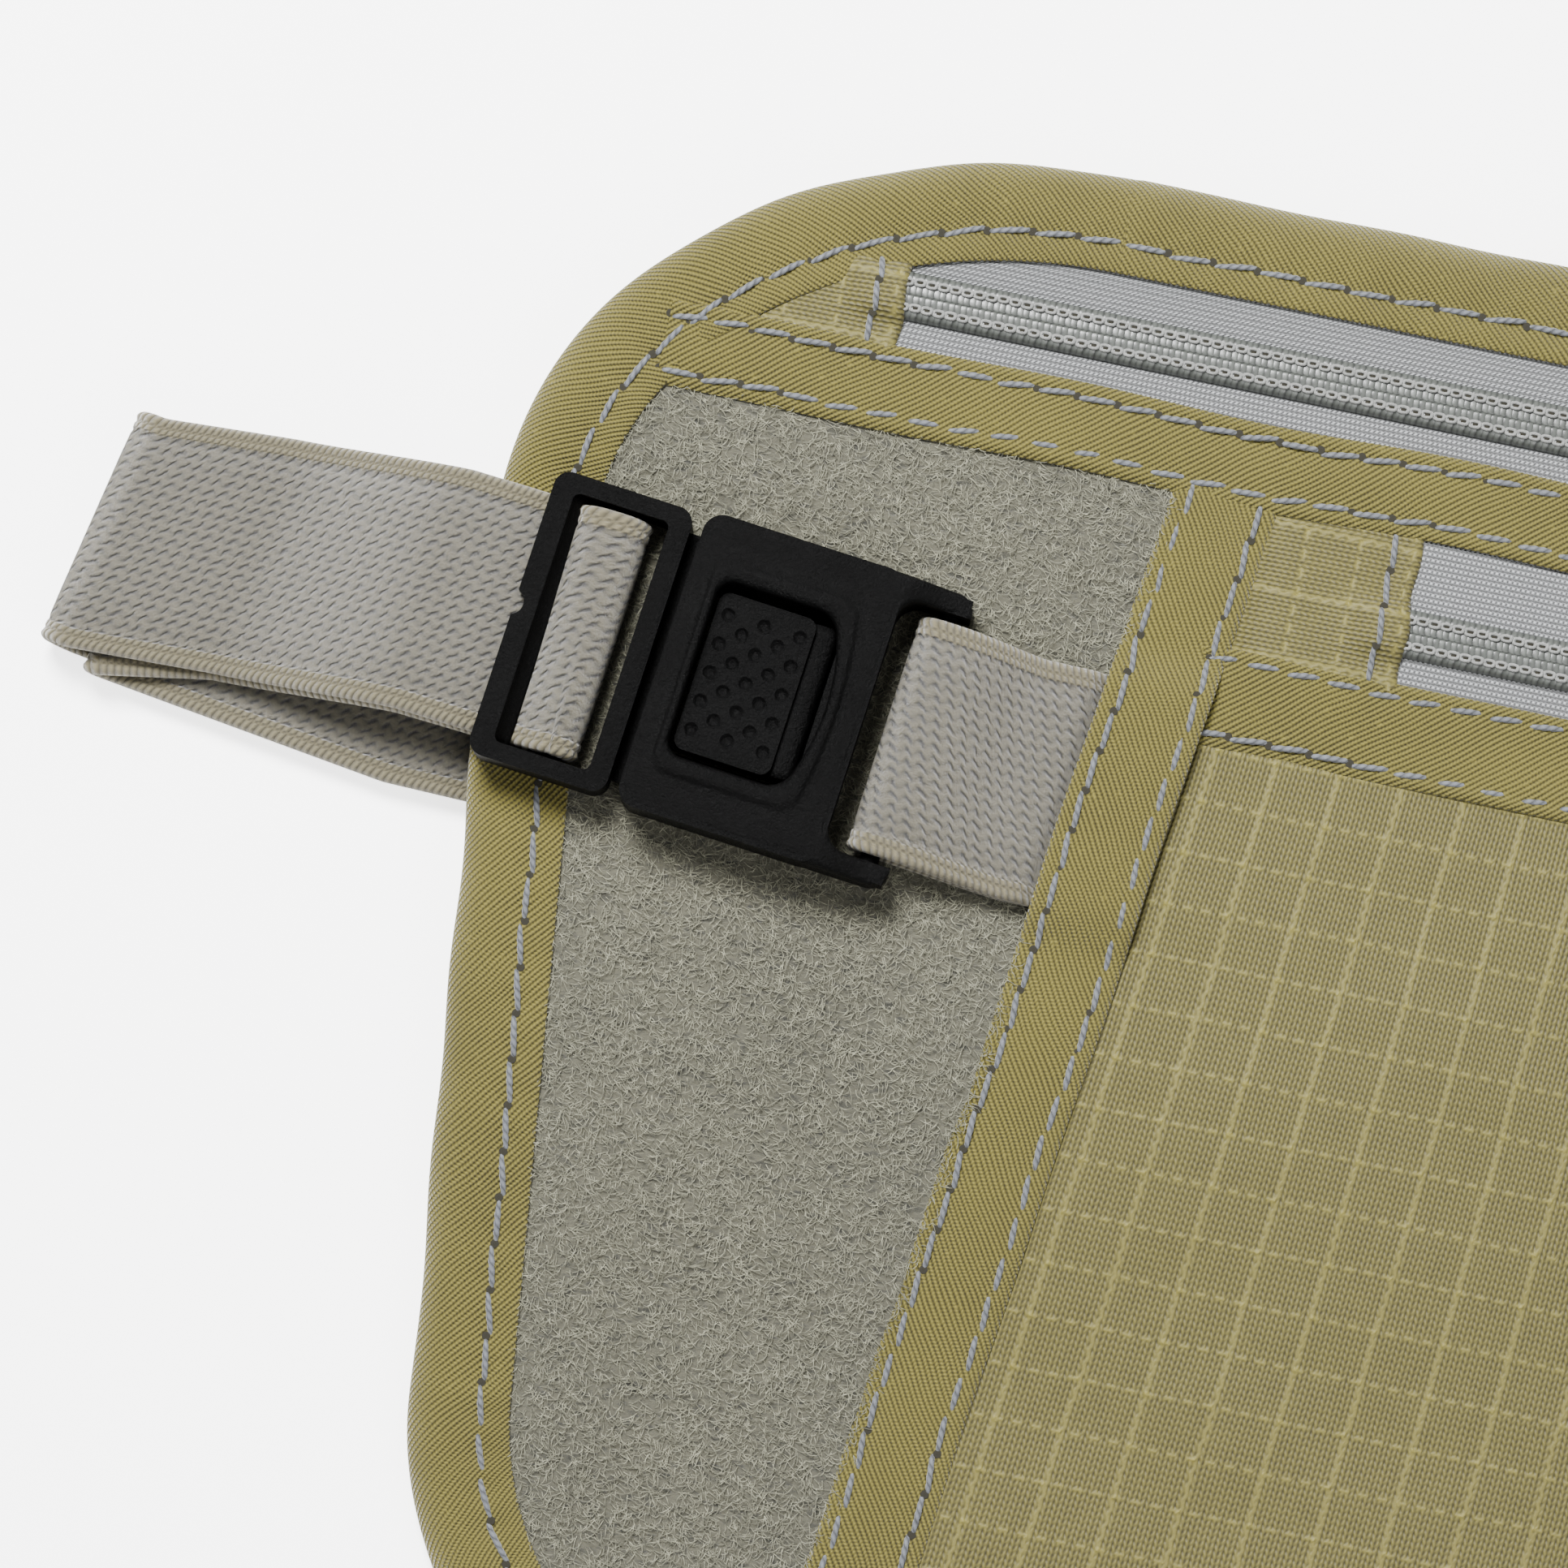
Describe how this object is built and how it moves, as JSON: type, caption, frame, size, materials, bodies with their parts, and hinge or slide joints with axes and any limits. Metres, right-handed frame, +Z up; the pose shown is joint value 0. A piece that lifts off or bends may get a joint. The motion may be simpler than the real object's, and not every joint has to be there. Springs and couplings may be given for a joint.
{
  "type": "money belt",
  "caption": "Flat zipped travel pouch with slanted wing panels and bound edges, worn on an elastic waist strap that closes with a small centre push buckle.",
  "frame": {"origin": "centre of the belt's footprint, on the surface it lies on", "axes": "+X along the belt from the buckle end to the sewn end, +Y towards the pouch's upper edge, +Z up out of its face"},
  "size_m": [0.357, 0.136, 0.0119],
  "materials": {
    "brushed_fabric": "brushed soft fabric, grey green",
    "ripstop_nylon": "ripstop nylon, khaki",
    "bias_tape": "ribbed bias tape, khaki",
    "zip_tape_cloth": "plain woven polyester, light grey",
    "zip_coil": "nylon coil with chain stitching, light grey",
    "zip_metal": "dark grey enamelled zinc",
    "knitted_elastic": "knitted elastic, greige",
    "buckle_plastic": "fine grained acetal, black"
  },
  "bodies": {
    "pouch": {"back_panel": "brushed_fabric", "divider_panel": "ripstop_nylon", "left_wing_panel": "brushed_fabric", "right_wing_panel": "brushed_fabric", "front_panel": "ripstop_nylon", "edge_binding": "bias_tape", "upper_tape": "bias_tape", "lower_tape": "bias_tape", "left_wing_tape": "bias_tape", "right_wing_tape": "bias_tape", "upper_zip_tape_top": "zip_tape_cloth", "upper_zip_tape_bottom": "zip_tape_cloth", "upper_zip_coil_top": "zip_coil", "upper_zip_coil_bottom": "zip_coil", "lower_zip_tape_top": "zip_tape_cloth", "lower_zip_tape_bottom": "zip_tape_cloth", "lower_zip_coil_top": "zip_coil", "lower_zip_coil_bottom": "zip_coil", "upper_zip_tab_left": "bias_tape", "upper_zip_tab_right": "bias_tape", "lower_zip_tab_left": "bias_tape", "lower_zip_tab_right": "bias_tape", "waist_strap": "knitted_elastic", "short_elastic": "knitted_elastic", "buckle_socket": "buckle_plastic"},
    "upper_slider": {"upper_slider": "zip_metal"},
    "upper_pull": {"upper_pull": "zip_metal"},
    "lower_slider": {"lower_slider": "zip_metal"},
    "lower_pull": {"lower_pull": "zip_metal"},
    "plug": {"buckle_plug": "buckle_plastic"},
    "button": {"release_button": "buckle_plastic"}
  },
  "joints": [
    {"name": "upper_zip_slide", "type": "slide", "parent": "pouch", "child": "upper_slider", "axis": [-1, 0, 0], "range_m": [0, 0.216]},
    {"name": "upper_pull_flip", "type": "hinge", "parent": "upper_slider", "child": "upper_pull", "pos_m": [0.1103, 0.0546, 0.00785], "axis": [0, 1, 0], "range_deg": [0, 178]},
    {"name": "lower_zip_slide", "type": "slide", "parent": "pouch", "child": "lower_slider", "axis": [-1, 0, 0], "range_m": [0, 0.128]},
    {"name": "lower_pull_flip", "type": "hinge", "parent": "lower_slider", "child": "lower_pull", "pos_m": [0.0657, 0.03605, 0.00785], "axis": [0, 1, 0], "range_deg": [0, 178]},
    {"name": "buckle_release", "type": "slide", "parent": "pouch", "child": "plug", "axis": [-0.9942, 0.108, 0], "range_m": [0, 0.016], "deforming": ["waist_strap"]},
    {"name": "button_press", "type": "hinge", "parent": "plug", "child": "button", "pos_m": [-0.11697, 0.02023, 0.0079], "axis": [-0.108, -0.9942, 0], "range_deg": [0, 7], "stiffness_Nm_per_rad": 0.2}
  ]
}
